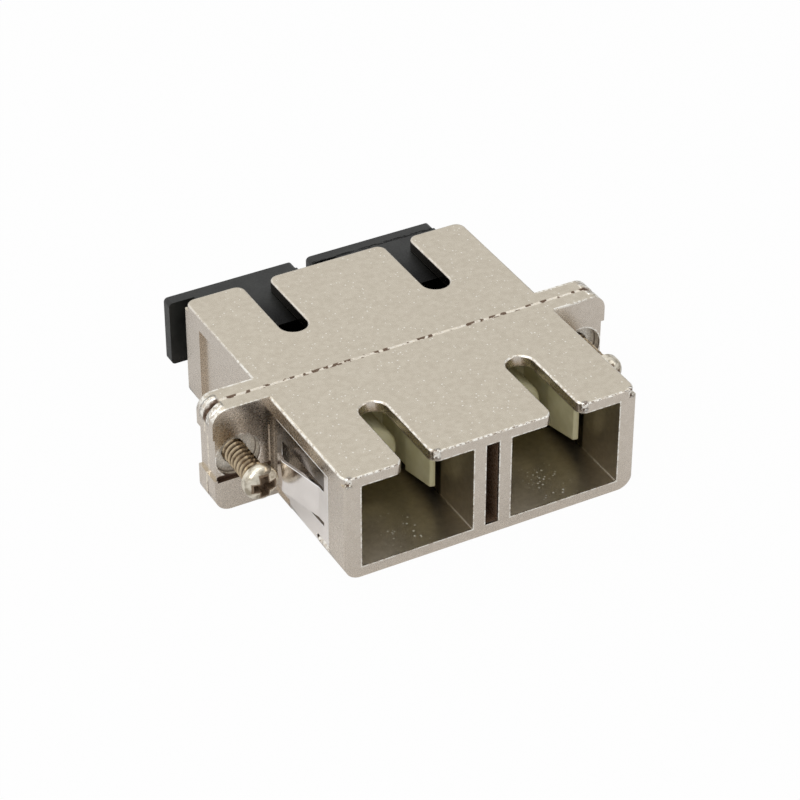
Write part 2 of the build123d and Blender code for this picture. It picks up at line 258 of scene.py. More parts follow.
def size_of(finish, value):
    """A value without its sign, for what is alike on both sides."""
    return maths(finish, "ABSOLUTE", value)


print("masks: above, below, between, where_all, where_any, other_than")

# %% [markdown]
# Two last helpers lay a colour over another through a mask, and raise the shading by a
# height. A bump changes only how light falls, so it suits grain too fine for a mesh, and it
# takes the normal of the layer below it.


# %% Layers
def mix(finish, share, under, over):
    """Lays one colour over another through a mask."""
    node = finish.tree.nodes.new("ShaderNodeMix")
    node.data_type = "RGBA"
    finish.join(share, node.inputs["Factor"])
    finish.join(under, node.inputs["A"])
    finish.join(over, node.inputs["B"])
    return node.outputs["Result"]


def bump(finish, height, depth, strength=1.0, under=None):
    """Raises the shading by a height of so many millimetres."""
    node = finish.tree.nodes.new("ShaderNodeBump")
    node.inputs["Strength"].default_value = strength
    node.inputs["Distance"].default_value = depth * MM
    finish.join(height, node.inputs["Height"])
    if under:
        finish.join(under, node.inputs["Normal"])
    return node.outputs["Normal"]


print("layers: mix and bump")

# %% [markdown]
# The halves are zinc die castings that were tumbled and then nickel plated. Their finish
# needs to know where things are on them, so a few sizes are read from the frame: the top,
# the reach of the ears, how far out the mouths lie, the middle of a port and the axis of a
# screw. The boxes don't show the others, which are given as the solids have them, with
# half widths for ports and slots.

# %% Places on the housing
housing_low, housing_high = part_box("front_housing")
latch_low, latch_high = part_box("front_right_latch")
screw_low, screw_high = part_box("right_screw")
TOP = housing_high[2] / MM
EAR_REACH = housing_high[0] / MM
MOUTH = -housing_low[1] / MM
PORT_AXIS = (latch_low[0] + latch_high[0]) / 2 / MM
SCREW_AXIS = (screw_low[0] + screw_high[0]) / 2 / MM
FLANK = 12.5
EAR_FACE = 1.4
EAR_BAND = 1.25
PORT_WALL = 4.72
PORT_FLOOR = 3.7
WEB_SLOT = 0.55
KEY_SLOT = 1.15
COUNTERBORE_RADIUS = 1.85
COUNTERBORE_FLOOR = 0.5
print("top", round(TOP, 2), "ears", round(EAR_REACH, 2), "port axis", round(PORT_AXIS, 2))

# %% [markdown]
# Four distances are used again and again, so each is a helper: how far a point lies beside
# a port's middle, outside a port's opening, outside the web slot, and from the nearer
# screw's axis. The part is alike left and right, so x is taken without its sign. The second
# of them also marks the ports' inside.


# %% Distances on the housing
def beside_port_axis(finish):
    """Distance to either side of the nearer port's middle."""
    off_axis = maths(finish, "SUBTRACT", size_of(finish, finish.x), PORT_AXIS)
    return size_of(finish, off_axis)


def outside_port(finish):
    """Distance outside the nearer port's opening, below 0 inside it."""
    beside = maths(finish, "SUBTRACT", beside_port_axis(finish), PORT_WALL)
    beyond = maths(finish, "SUBTRACT", size_of(finish, finish.z), PORT_FLOOR)
    return maths(finish, "MAXIMUM", beside, beyond)


def outside_slot(finish):
    """Distance outside the slot that splits the web, below 0 inside it."""
    beside = maths(finish, "SUBTRACT", size_of(finish, finish.x), WEB_SLOT)
    beyond = maths(finish, "SUBTRACT", size_of(finish, finish.z), PORT_FLOOR)
    return maths(finish, "MAXIMUM", beside, beyond)


def from_screw_axis(finish):
    """Distance from the nearer screw's axis."""
    off_axis = maths(finish, "SUBTRACT", size_of(finish, finish.x), SCREW_AXIS)
    across = maths(finish, "MULTIPLY", off_axis, off_axis)
    upright = maths(finish, "MULTIPLY", finish.z, finish.z)
    return maths(finish, "SQRT", maths(finish, "ADD", across, upright))


def inside_ports(finish):
    """1 on the walls, floor and roof of both ports."""
    in_length = between(finish, size_of(finish, finish.y), 1.2, MOUTH - 0.08, 0.03)
    return where_all(finish, below(finish, outside_port(finish), 0.1), in_length)


print("distances: from the ports, the web slot and the screws")

# %% [markdown]
# Tumbling rubs every outer edge, and the edges are painted near white there, in chips rather
# than in one clean line: partly the plating's wear, partly a painted highlight where light runs
# along an edge. The rounded upper edges are found by their height and their slope. The upper
# edges of the ears are sharp, so they get a narrow strip on each side of the edge, and so do
# the mouths of the ports and the rims of the counterbores. The ears' upper corners beside the
# seam are brightest: they have the most wear, and a painted highlight where they face the
# light.


# %% Edges bright from wear and painted highlights
def rounded_rim(finish):
    """1 on the top's rounded edges and the key slots' rims, less on the capped half."""
    rubbing = fade(finish, finish.y, 4.0, 5.5, 1.0, 0.45)
    sloping = between(finish, finish.upward, 0.25, 0.93)
    return where_all(finish, sloping, above(finish, finish.z, 3.2, 0.2), rubbing)


def ear_edge(finish):
    """1 along the upper edge of each ear's front face and rear face."""
    along = size_of(finish, finish.y)
    on_ear = above(finish, size_of(finish, finish.x), FLANK + 0.05)
    near_face = between(finish, along, EAR_FACE - 0.16, EAR_FACE + 0.05, 0.03)
    near_top = above(finish, finish.z, TOP - 0.12, 0.03)
    return where_all(finish, on_ear, near_face, near_top)


def seam_corner(finish):
    """1 on the upper corners of the ears beside the seam, where wear and a painted highlight
    are brightest.
    """
    outer = above(finish, size_of(finish, finish.x), EAR_REACH - 1.22, 0.12)
    near_seam = below(finish, size_of(finish, finish.y), 0.85, 0.1)
    return where_all(finish, outer, above(finish, finish.z, 3.15, 0.15), near_seam)


def mouth_rim(finish):
    """1 on the edges of the port mouths and of the web slot, on the end faces."""
    at_end = above(finish, size_of(finish, finish.y), MOUTH - 0.05, 0.02)
    by_port = between(finish, outside_port(finish), -0.05, 0.1, 0.03)
    by_slot = between(finish, outside_slot(finish), -0.05, 0.1, 0.03)
    return where_all(finish, at_end, where_any(finish, by_port, by_slot))


def counterbore_lip(finish):
    """1 on the rim of each counterbore, and a third of that on its floor."""
    radius = from_screw_axis(finish)
    along = size_of(finish, finish.y)
    at_face = between(finish, along, EAR_BAND - 0.05, EAR_BAND + 0.05, 0.02)
    at_rim = between(finish, radius, COUNTERBORE_RADIUS, COUNTERBORE_RADIUS + 0.12, 0.02)
    at_floor = between(finish, along, COUNTERBORE_FLOOR - 0.06, COUNTERBORE_FLOOR + 0.06, 0.02)
    floor_share = where_all(finish, at_floor, below(finish, radius, 1.7), 0.35)
    return where_any(finish, where_all(finish, at_face, at_rim), floor_share)


print("rubbed places: rims, ear edges, seam corners, mouths, counterbores")

# %% [markdown]
# A few spots are rough as well as bright, because the casting was broken off its runner there:
# the upper corners of the open end, beside the slots and at the flanks, and the sloping ledge
# that the clip's lower edge rests above. Part of their brightness is a painted highlight, most
# of all on the ledge, which faces up into the light.


# %% Where the castings are rough
ROUGH_CORNERS = (-12.1, -4.75, 7.95, 12.1)
ROUGH_REACH = 0.25


def rough_corner(finish):
    """1 on the rough spots along the upper edge of the open end."""
    spots = [
        between(finish, finish.x, middle - ROUGH_REACH, middle + ROUGH_REACH, 0.15)
        for middle in ROUGH_CORNERS
    ]
    at_end = below(finish, finish.y, -MOUTH + 0.3, 0.12)
    near_top = above(finish, finish.z, TOP - 0.75, 0.15)
    return where_all(finish, where_any(finish, *spots), near_top, at_end)


def clip_ledge(finish):
    """1 on the sloping ledge under the clip, where the clip leaves it open."""
    on_ledge = between(finish, finish.z, -3.75, -3.12, 0.04)
    in_recess = above(finish, size_of(finish, finish.x), FLANK - 0.4, 0.03)
    past_strap = between(finish, size_of(finish, finish.y), 9.1, 10.93, 0.04)
    return where_all(finish, on_ledge, in_recess, past_strap, above(finish, finish.upward, 0.3))


print("rough spots at x =", ROUGH_CORNERS)

# %% [markdown]
# Brown polishing compound stays where a cloth can't reach: in the seam as small clots, in the
# notch that wear cut at each ear's corner, in the groove below each ear's sunk band, and in the
# pits of the rough corners. The same brown also paints shade: at the foot and under the lip of
# each counterbore's wall, and as broken pits along the middle of the open end's rounded upper
# edge. A near black paints the shade on the walls of the rear slots, which also mirror the
# black caps.


# %% Where brown compound stayed, and where shade is painted
def seam_dirt(finish):
    """1 in the clots along the seam and in the notches at its ends."""
    along = size_of(finish, finish.y)
    clots = above(finish, noise(finish, 1.5, 2.0, 0.6, stretch=(1.0, 1.0, 0.1)), 0.55, 0.03)
    in_seam = where_all(finish, below(finish, along, 0.18, 0.05), clots)
    notch = where_all(finish, seam_corner(finish), below(finish, along, 0.26, 0.08))
    return where_any(finish, in_seam, notch)


def groove_dirt(finish):
    """1 in the grooves of the ears, short of their outer sides."""
    in_height = between(finish, finish.z, -1.98, -1.42)
    in_depth = between(finish, finish.y, -EAR_FACE + 0.04, -0.85)
    short_of_side = below(finish, size_of(finish, finish.x), EAR_REACH - 0.35)
    return where_all(finish, in_height, in_depth, short_of_side)


def counterbore_shade(finish):
    """Up to 0.85 of painted shade at the foot and under the lip of each counterbore's wall."""
    past_wall = maths(finish, "SUBTRACT", from_screw_axis(finish), COUNTERBORE_RADIUS)
    at_wall = between(finish, past_wall, -0.08, 0.03, 0.015)
    along = size_of(finish, finish.y)
    at_foot = between(finish, along, COUNTERBORE_FLOOR, COUNTERBORE_FLOOR + 0.1, 0.03)
    at_lip = between(finish, along, EAR_BAND - 0.16, EAR_BAND - 0.03, 0.03)
    return where_all(finish, at_wall, where_any(finish, at_foot, at_lip), 0.85)


def pits_and_edge_shade(finish):
    """1 in the pits of the rough corners, and 0.7 in a broken line of painted shade along the
    open end's upper edge.
    """
    pitted = above(finish, noise(finish, 4.2, 2.0), 0.55, 0.03)
    sloping = between(finish, finish.upward, 0.45, 0.8)
    at_end = below(finish, finish.y, -MOUTH + 0.2)
    edge = where_all(finish, sloping, at_end, above(finish, finish.z, 3.2, 0.2), 0.7)
    return where_all(finish, pitted, where_any(finish, rough_corner(finish), edge))


def rear_slot_shade(finish):
    """1 on the walls of the rear key slots, above the caps, where shade is painted."""
    in_slot = below(finish, beside_port_axis(finish), KEY_SLOT + 0.25)
    in_wall = between(finish, finish.z, PORT_FLOOR + 0.02, TOP - 0.16, 0.04)
    upright = below(finish, finish.upward, 0.5)
    return where_all(finish, above(finish, finish.y, 5.3), in_slot, in_wall, upright)


print("dirt: seam, notches, grooves, counterbores, pits and rear slots")

# %% [markdown]
# Some places are given painted light. The slot that splits the web, the port walls behind the
# latch arms and the floor of each front flank's recess, behind the clip, are painted darker, as
# the shade that falls there. The counterbores are painted pale, as the reflection that shows in
# them. On the floors of the open ports, pale dots are painted along their middles as glints of
# light near the mouths. The web slot, the counterbores and the dots are also made less
# metallic, so that they scatter light in every direction instead of mirroring it.


# %% Where light and shade are painted
def web_slot(finish):
    """1 inside the slot between the two ports."""
    in_length = between(finish, size_of(finish, finish.y), 1.5, MOUTH - 0.2)
    return where_all(finish, below(finish, outside_slot(finish), 0.1), in_length)


def shade_behind_arms(finish):
    """1 on the port walls behind the latch arms, where shade is painted."""
    at_wall = above(finish, beside_port_axis(finish), PORT_WALL - 0.1)
    return where_all(finish, at_wall, below(finish, size_of(finish, finish.y), 8.55, 0.15))


def counterbore(finish):
    """1 on the floor and the wall of each counterbore."""
    along = size_of(finish, finish.y)
    sunk = between(finish, along, COUNTERBORE_FLOOR - 0.06, EAR_BAND - 0.03, 0.02)
    round_axis = below(finish, from_screw_axis(finish), COUNTERBORE_RADIUS + 0.03, 0.02)
    return where_all(finish, round_axis, sunk)


def floor_glints(finish):
    """1 in the painted glints on the floor of each open port, along its middle."""
    low_down = below(finish, finish.z, 0.05 - PORT_FLOOR)
    in_length = between(finish, finish.y, -13.2, -9.0, 0.8)
    in_middle = below(finish, beside_port_axis(finish), 1.3, 1.0)
    dots = specks(finish, 4.6, 0.4, 0.42)
    return where_all(finish, inside_ports(finish), low_down, in_length, in_middle, dots)


def flank_recess_shade(finish):
    """1 on the floor of the recess in each front flank, behind the clip, where shade is
    painted.
    """
    at_floor = between(finish, size_of(finish, finish.x), FLANK - 0.45, FLANK - 0.25, 0.03)
    in_length = between(finish, finish.y, -10.9, -EAR_FACE - 0.05)
    in_height = below(finish, size_of(finish, finish.z), 3.35)
    return where_all(finish, at_floor, in_height, in_length)


print("dull places: web slot, behind the arms, counterbores, port and recess floors")

# %% [markdown]
# Nickel is a warm grey. Its tones come in pairs, a darker and a lighter one, and soft noise
# wanders between the two of a pair. The upper faces, the upright ones and the ports each have a
# pair, which paints the reflection of the different parts of the room they mirror; the ports'
# pair is darker, as painted shade. Single tones serve the rest, and several of them paint
# highlights, a reflection or shade, as marked below.

# %% Tones of the castings
UPPER_TONES = (colour(0.58, 0.52, 0.423), colour(0.65, 0.59, 0.487))
UPRIGHT_TONES = (colour(0.65, 0.58, 0.50), colour(0.70, 0.63, 0.55))
PORT_TONES = (colour(0.50, 0.445, 0.365), colour(0.58, 0.52, 0.43))
# Of the single tones, the near-white one paints wear and highlights, the pale one for the
# counterbores paints a reflection, the dark ones for the recess, the walls behind the arms and
# the web slot paint shade, the compound's brown paints compound and shade, the near-black one
# paints shade on the rear slot walls, and the white for the port floors paints glints.
RUBBED_AND_HIGHLIGHT_TONE = colour(0.98, 0.95, 0.88)
SEAM_TONE = colour(0.95, 0.87, 0.74)
FLOOR_GLINT_TONE = colour(1.0, 0.97, 0.9)
COUNTERBORE_REFLECTION_TONE = colour(0.84, 0.78, 0.68)
RECESS_SHADE_TONE = colour(0.20, 0.165, 0.13)
ARM_SHADOW_TONE = colour(0.03, 0.024, 0.018)
WEB_SLOT_SHADE_TONE = colour(0.26, 0.17, 0.11)
COMPOUND_AND_SHADE_TONE = colour(0.13, 0.07, 0.04)
REAR_SLOT_SHADE_TONE = colour(0.03, 0.028, 0.022)
print("the upper faces' two tones:", UPPER_TONES)

# %% [markdown]
# The colour is laid on in layers: first the plating, with painted shade in the recesses behind
# the clip and on the walls behind the latch arms, and a pale painted reflection in the
# counterbores; then the edges, bright from rubbing and painted highlights, the seam's line and
# sparse painted glints; and last the compound with the painted shade in its brown, the painted
# shade on the rear slot walls and in the web slot, and the painted glints on the port floors.


# %% Colour of the castings
def nickel_colour(finish, rubbed_and_highlit, facing_up, in_port, rough_spots, dirt_and_shade):
    """All layers of colour, from the plating up to the painted glints on the port floors."""
    mottle = fade(finish, noise(finish, 1.9, 4.0, 0.65), 0.3, 0.7)
    facing_out = where_all(finish, other_than(finish, facing_up), other_than(finish, in_port))
    base = mix(finish, mottle, *UPPER_TONES)
    base = mix(finish, facing_out, base, mix(finish, mottle, *UPRIGHT_TONES))
    base = mix(finish, in_port, base, mix(finish, mottle, *PORT_TONES))
    # Painted shade on the recess floor behind the clip.
    base = mix(finish, where_all(finish, flank_recess_shade(finish), 0.75), base, RECESS_SHADE_TONE)
    # Painted shade: the port walls behind the latch arms lie in the arms' shadow.
    painted_arm_shadow = where_all(finish, in_port, shade_behind_arms(finish), 0.9)
    base = mix(finish, painted_arm_shadow, base, ARM_SHADOW_TONE)
    # A pale painted reflection in the counterbores.
    base = mix(finish, counterbore(finish), base, COUNTERBORE_REFLECTION_TONE)
    chips = fade(finish, noise(finish, 3.2, 3.0, 0.6), 0.40, 0.56)
    edges = where_any(finish, rounded_rim(finish), ear_edge(finish), mouth_rim(finish))
    worn_and_highlit = where_any(finish, edges, counterbore_lip(finish), rough_spots)
    worn_and_highlit = chips if rubbed_and_highlit else where_all(finish, worn_and_highlit, chips)
    # Edges painted near white, as wear and a painted highlight.
    base = mix(finish, worn_and_highlit, base, RUBBED_AND_HIGHLIGHT_TONE)
    flecks = fade(finish, noise(finish, 3.9, 2.0), 0.42, 0.58, 0.3, 1.0)
    seam_line = below(finish, size_of(finish, finish.y), 0.14, 0.03)
    base = mix(finish, where_all(finish, seam_line, flecks), base, SEAM_TONE)
    # Sparse painted glints, most of them on the upper faces.
    glint_share = maths(finish, "ADD", where_all(finish, facing_up, 0.7), 0.1)
    glints = where_all(finish, specks(finish, 4.2, 0.34, 0.27), glint_share)
    base = mix(finish, glints, base, RUBBED_AND_HIGHLIGHT_TONE)
    # Brown compound, and painted shade in the same brown.
    base = mix(finish, where_all(finish, dirt_and_shade, 0.9), base, COMPOUND_AND_SHADE_TONE)
    # Painted shade, near black, on the walls of the rear slots.
    base = mix(finish, where_all(finish, rear_slot_shade(finish), 0.85), base, REAR_SLOT_SHADE_TONE)
    # Painted shade: the web slot is a dim brown deep inside.
    base = mix(finish, web_slot(finish), base, WEB_SLOT_SHADE_TONE)
    # Painted glints of light on the floors of the open ports.
    return mix(finish, floor_glints(finish), base, FLOOR_GLINT_TONE)


print("colour layers: plating, wear, seam, glints, compound, dust and dots")

# %% [markdown]
# The casting's skin is sandy on the upper faces and calmer on the upright ones, which lay
# against the polished walls of the die. The rough spots are coarser. Three bumps give slow
# waves, sand and rough spots, each on the normal of the one before.


# %% Relief of the castings
def nickel_relief(finish, sand, facing_up, in_port, rough_spots):
    """The shading normal with waves, sand and rough spots."""
    waves = noise(finish, 1.7, 2.0)
    wave_height = where_all(finish, waves, fade(finish, in_port, 0.0, 1.0, 1.0, 0.2))
    sand_share = maths(finish, "ADD", where_all(finish, facing_up, 0.85), 0.15)
    sand_height = where_all(finish, sand, fade(finish, in_port, 0.0, 1.0, 1.0, 0.3), sand_share)
    rough_height = where_all(finish, rough_spots, noise(finish, 2.4, 1.0))
    normal = bump(finish, wave_height, 0.03, 0.3)
    normal = bump(finish, sand_height, 0.016, 0.5, normal)
    return bump(finish, rough_height, 0.25, 0.8, normal)


print("relief: waves, sand and rough spots")

# %% [markdown]
# Colour and relief meet in one finish. The compound, the painted shade in the compound's brown
# and the ports' inside are less glossy, and the places of painted light in the web slot, the
# counterbores and on the port floors are less metallic. A second one of the same make, bright
# all over from rubbing and a painted highlight, is for the edges.


# %% Cast nickel
def cast_nickel(name, rubbed_and_highlit):
    """Nickel over a sandy casting: the open skin, or the edge bands, bright from rubbing and a
    painted highlight.
    """
    finish = Finish(name, metallic=1.0)
    in_port = inside_ports(finish)
    level = above(finish, finish.upward, 0.75, 0.15)
    facing_up = where_all(finish, level, other_than(finish, in_port))
    rough = (seam_corner, rough_corner, clip_ledge)
    rough_spots = where_any(finish, *[mask(finish) for mask in rough])
    shade_and_dirt_masks = (seam_dirt, groove_dirt, counterbore_shade, pits_and_edge_shade)
    dirt_and_shade = where_any(finish, *[mask(finish) for mask in shade_and_dirt_masks])
    painted_light_patch = where_any(finish, web_slot(finish), floor_glints(finish), counterbore(finish))
    sand = noise(finish, 5.0, 4.0, 0.6)
    grip = where_any(finish, where_all(finish, dirt_and_shade, 0.4), where_all(finish, in_port, 0.1))
    finish.set(
        Base_Color=nickel_colour(finish, rubbed_and_highlit, facing_up, in_port, rough_spots, dirt_and_shade),
        Metallic=fade(finish, painted_light_patch, 0.0, 1.0, 1.0, 0.35),
        Roughness=maths(finish, "ADD", fade(finish, sand, 0.3, 0.7, 0.22, 0.32), grip),
        Normal=nickel_relief(finish, sand, facing_up, in_port, rough_spots),
    )
    return finish.material


nickel_skin = cast_nickel("cast nickel", rubbed_and_highlit=False)
# The edge bands are painted near white all over, as wear and a painted highlight.
nickel_edge = cast_nickel("rubbed nickel edge", rubbed_and_highlit=True)
print("cast nickel layers:", len(nickel_skin.node_tree.nodes), "shader nodes")

# %% [markdown]
# The clip is folded from rolled spring steel. Rolling leaves faint lines along the strip and a
# smooth shine. The strip above the window and the end by the ear are painted darker than the
# rest, as the shade of the recess they lie in, and each cut edge is as bright as a fresh blade.


# %% Spring steel
def spring_steel(name, cut_edge):
    """Smooth rolled sheet with faint lines along its length, or its bright cut edge."""
    finish = Finish(name, metallic=1.0)
    lines = noise(finish, 2.0, 2.0, 0.5, stretch=(1.0, 0.12, 3.0))
    cloud = fade(finish, noise(finish, 0.5, 2.0), 0.3, 0.7)
    if cut_edge:
        base = mix(finish, cloud, colour(0.92, 0.91, 0.90), colour(0.98, 0.97, 0.96))
    else:
        base = mix(finish, cloud, colour(0.92, 0.87, 0.83), colour(0.98, 0.93, 0.89))
        near_ear = above(finish, finish.y, -3.6, 0.1)
        by_ear = where_all(finish, near_ear, above(finish, finish.z, -0.8, 0.3))
        upper = where_any(finish, above(finish, finish.z, 1.6, 0.15), by_ear)
        on_plate = below(finish, size_of(finish, finish.x), FLANK + 0.1)
        # Painted shade on the strip above the window and the end by the ear.
        clip_shade = where_all(finish, upper, on_plate, above(finish, finish.y, -10.3, 0.08), 0.9)
        base = mix(finish, clip_shade, base, colour(0.13, 0.108, 0.09))
    finish.set(
        Base_Color=base,
        Roughness=fade(finish, lines, 0.3, 0.7, 0.16, 0.25),
        Normal=bump(finish, lines, 0.004, 0.35),
    )
    return finish.material


clip_steel = spring_steel("spring steel", cut_edge=False)
clip_edge = spring_steel("cut spring steel", cut_edge=True)
print("clip finishes:", clip_steel.name, "and", clip_edge.name)

# %% [markdown]
# The screws are nickel over brass, and the brass shows through as a golden film, most of all on
# the thread's crests. The cross holds dark brown compound, and the roots are painted dark brown
# as the shade in the thread's grooves. Distance from the screw's own axis tells crest from
# root, and two crossed bars mark the recess. Both screws share one finish, because they stand
# at the same distance on each side.


# %% Screw nickel
HEAD_HEIGHT = 1.25
CROSS_SPAN = 2.1
CROSS_ARM = 0.76
ROOT_LIMIT = 0.84


def screw_nickel(name):
    """Plating with golden crests, roots darkened as painted shade and a brown recess."""
    finish = Finish(name, metallic=1.0)
    seat = screw_low[1] / MM + HEAD_HEIGHT
    radius = from_screw_axis(finish)
    film = fade(finish, noise(finish, 1.6, 2.0), 0.4, 0.65)
    head = mix(finish, film, colour(0.80, 0.74, 0.62), colour(0.40, 0.35, 0.27))
    thread = mix(finish, film, colour(0.62, 0.50, 0.34), colour(0.34, 0.26, 0.17))
    base = mix(finish, above(finish, finish.y, seat + 0.05), head, thread)
    past_head = above(finish, finish.y, seat + 0.1)
    # Painted shade in the thread's roots.
    root = where_all(finish, past_head, below(finish, radius, ROOT_LIMIT, 0.06))
    base = mix(finish, where_all(finish, root, 0.8), base, colour(0.07, 0.04, 0.022))
    across = size_of(finish, maths(finish, "SUBTRACT", size_of(finish, finish.x), SCREW_AXIS))
    upright = size_of(finish, finish.z)
    bars = []
    for width, length in ((across, upright), (upright, across)):
        in_width = below(finish, width, CROSS_ARM / 2 + 0.03, 0.03)
        bars.append(where_all(finish, in_width, below(finish, length, CROSS_SPAN / 2)))
    in_cross = where_all(finish, where_any(finish, *bars), below(finish, finish.y, seat - 0.1))
    base = mix(finish, where_all(finish, in_cross, 0.92), base, colour(0.21, 0.14, 0.085))
    roughness = fade(finish, noise(finish, 4.0, 2.0), 0.3, 0.7, 0.12, 0.22)
    finish.set(
        Base_Color=base,
        Metallic=fade(finish, in_cross, 0.0, 1.0, 1.0, 0.5),
        Roughness=maths(finish, "ADD", roughness, where_all(finish, in_cross, 0.3)),
        Normal=bump(finish, noise(finish, 3.0, 2.0), 0.014, 0.35),
    )
    return finish.material


screw_metal = screw_nickel("screw nickel")
print("screw finish for axes at", round(SCREW_AXIS, 2), "mm")

# %% [markdown]
# The alignment sleeves are ground from phosphor bronze tube. Grinding leaves lines round
# the tube, so the noise is squeezed along the sleeve's axis and stretched across it.


# %% Ground bronze
def ground_bronze(name):
    """Fine grinding lines round a springy bronze tube."""
    finish = Finish(name, metallic=1.0)
    lines = noise(finish, 3.0, 3.0, 0.6, stretch=(0.2, 4.0, 0.2))
    tone = fade(finish, lines, 0.3, 0.7)
    finish.set(
        Base_Color=mix(finish, tone, colour(0.62, 0.45, 0.24), colour(0.76, 0.60, 0.36)),
        Roughness=fade(finish, lines, 0.3, 0.7, 0.22, 0.36),
        Normal=bump(finish, lines, 0.008, 0.4),
    )
    return finish.material


sleeve_bronze = ground_bronze("sleeve bronze")
print("sleeve finish:", sleeve_bronze.name)

# %% [markdown]
# The latch inserts are a cream engineering plastic and the caps a soft black one. Both have the
# fine grain of a sparked mould. Deeper in the ports the caps' plugs are painted darker than
# their rims, as the shade that falls there. They are set black and nearly metallic, because a
# black metal mirrors next to nothing. Where the right cap's rim meets its plug, the mould's
# halves left a torn line of flash, which shows as a broken dark line, painted near black as the
# shade in the tear.


# %% Moulded plastics
def moulded_plastic(name, dark, light, grain_depth, gloss=0.5, inner_end=None, flash_y=None):
    """Moulded plastic with a fine grain, painted shade toward the inner end and a torn line of
    flash.
    """
    finish = Finish(name)
    finish.shader.inputs["Specular IOR Level"].default_value = gloss
    mottle = fade(finish, noise(finish, 0.9), 0.3, 0.7)
    grain = noise(finish, 6.0, 3.0, 0.6)
    base = mix(finish, mottle, dark, light)
    normal = bump(finish, grain, grain_depth, 0.4)
    if flash_y:
        torn = above(finish, noise(finish, 1.6, 3.0, 0.7, stretch=(1.0, 3.0, 1.0)), 0.5, 0.04)
        at_joint = between(finish, finish.y, flash_y - 0.16, flash_y + 0.12, 0.04)
        line = where_all(finish, at_joint, torn, above(finish, finish.z, 3.4, 0.1))
        # The flash line is painted near black, as the shade in its tear.
        base = mix(finish, line, base, colour(0.002, 0.002, 0.002))
        normal = bump(finish, line, -0.12, 0.9, normal)
    if inner_end:
        # Painted shade, darker towards the plug's inner end.
        inside = fade(finish, finish.y, inner_end, inner_end + 5.5, 1.0, 0.0)
        painted_light_patch = where_any(finish, inside, line) if flash_y else inside
        base = mix(finish, painted_light_patch, base, colour(0.001, 0.001, 0.001))
        finish.set(Metallic=where_all(finish, painted_light_patch, 0.9))
    finish.set(
        Base_Color=base,
        Roughness=fade(finish, grain, 0.3, 0.7, 0.36, 0.50),
        Normal=normal,
    )
    return finish.material


LATCH_TONES = (colour(0.70, 0.66, 0.41), colour(0.79, 0.75, 0.50))
CAP_TONES = (colour(0.011, 0.0115, 0.0105), colour(0.019, 0.020, 0.018))
CAP_GRAIN = 0.012
CAP_GLOSS = 0.4
PLUG_END = 8.5
RIM_THICKNESS = 1.0
rim_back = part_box("right_dust_cap")[1][1] / MM - RIM_THICKNESS
latch_cream = moulded_plastic("latch cream", *LATCH_TONES, 0.008)
cap_black = moulded_plastic("cap black", *CAP_TONES, CAP_GRAIN, CAP_GLOSS, PLUG_END)
cap_with_flash = moulded_plastic(
    "torn cap black", *CAP_TONES, CAP_GRAIN, CAP_GLOSS, PLUG_END, rim_back
)
print("flash line at y =", round(rim_back, 2), "mm")

# %% [markdown]
# Nothing real has a perfectly sharp edge: light runs along each one as a thin bright line.
# A node of the frame is a mesh of loose triangles, so a Weld modifier joins them, a Decimate
# modifier makes each flat face whole again, and a Bevel modifier then rounds what is sharper
# than a set angle. Modifiers leave the node itself as it was, which is why they are used
# here and not edit mode.


# %% Ease the edges
WELD_DISTANCE = 0.001
FLAT_WITHIN = 1.0
EASE_ABOVE = 50.0
CAST_EASE = 0.1
SHEET_EASE = 0.045
LATCH_EASE = 0.08
CAP_EASE = 0.12


def ease_edges(piece, radius, steps, edge_material=False):
    """Welds a node's triangles and rounds its sharp edges."""
    weld = piece.modifiers.new("join triangles", "WELD")
    weld.merge_threshold = WELD_DISTANCE * MM
    flat = piece.modifiers.new("whole flat faces", "DECIMATE")
    flat.decimate_type = "DISSOLVE"
    flat.angle_limit = math.radians(FLAT_WITHIN)
    bevel = piece.modifiers.new("eased edges", "BEVEL")
    bevel.width = radius * MM
    bevel.segments = steps
    bevel.limit_method = "ANGLE"
    bevel.angle_limit = math.radians(EASE_ABOVE)
    bevel.use_clamp_overlap = True
    bevel.harden_normals = True
    if edge_material:
        bevel.material = 1


def paint(piece, *materials):
    """Gives a piece these materials in place of its own."""
    piece.data.materials.clear()
    for material in materials:
        piece.data.materials.append(material)


print("edges sharper than", EASE_ABOVE, "degrees are eased")

# %% [markdown]
# The housings and the clip get two materials each, one for their faces and one for the
# bands that the Bevel modifier makes. Cast edges are eased more than the cut edges of thin
# sheet, and the sleeves, which the latches hide, not at all.

# %% Finish the metal pieces
for name in ("front_housing", "rear_housing"):
    paint(nodes[name], nickel_skin, nickel_edge)
    ease_edges(nodes[name], CAST_EASE, 2, edge_material=True)
paint(nodes["panel_clip"], clip_steel, clip_edge)
ease_edges(nodes["panel_clip"], SHEET_EASE, 2, edge_material=True)
for name in ("left_sleeve", "right_sleeve"):
    paint(nodes[name], sleeve_bronze)
print("finished: housings, clip and sleeves")

# %% [markdown]
# The plastic pieces get one material each, and the soft caps are eased most. Only the right
# cap shows the torn flash at its rim: the left one was trimmed clean.

# %% Finish the plastic pieces
latches = [name for name in sorted(nodes) if name.endswith("_latch")]
for name in latches:
    paint(nodes[name], latch_cream)
    ease_edges(nodes[name], LATCH_EASE, 2)
for name, material in (("left_dust_cap", cap_black), ("right_dust_cap", cap_with_flash)):
    paint(nodes[name], material)
    ease_edges(nodes[name], CAP_EASE, 3)
print("finished: dust caps and", len(latches), "latches")

# %% [markdown]
# The flange screws are the one thing that the solids keep plainer than the photograph: a
# smooth shank in place of a thread. So each is modelled anew from its own box in the frame,
# with a rolled thread under a domed head. First the sizes, in millimetres.

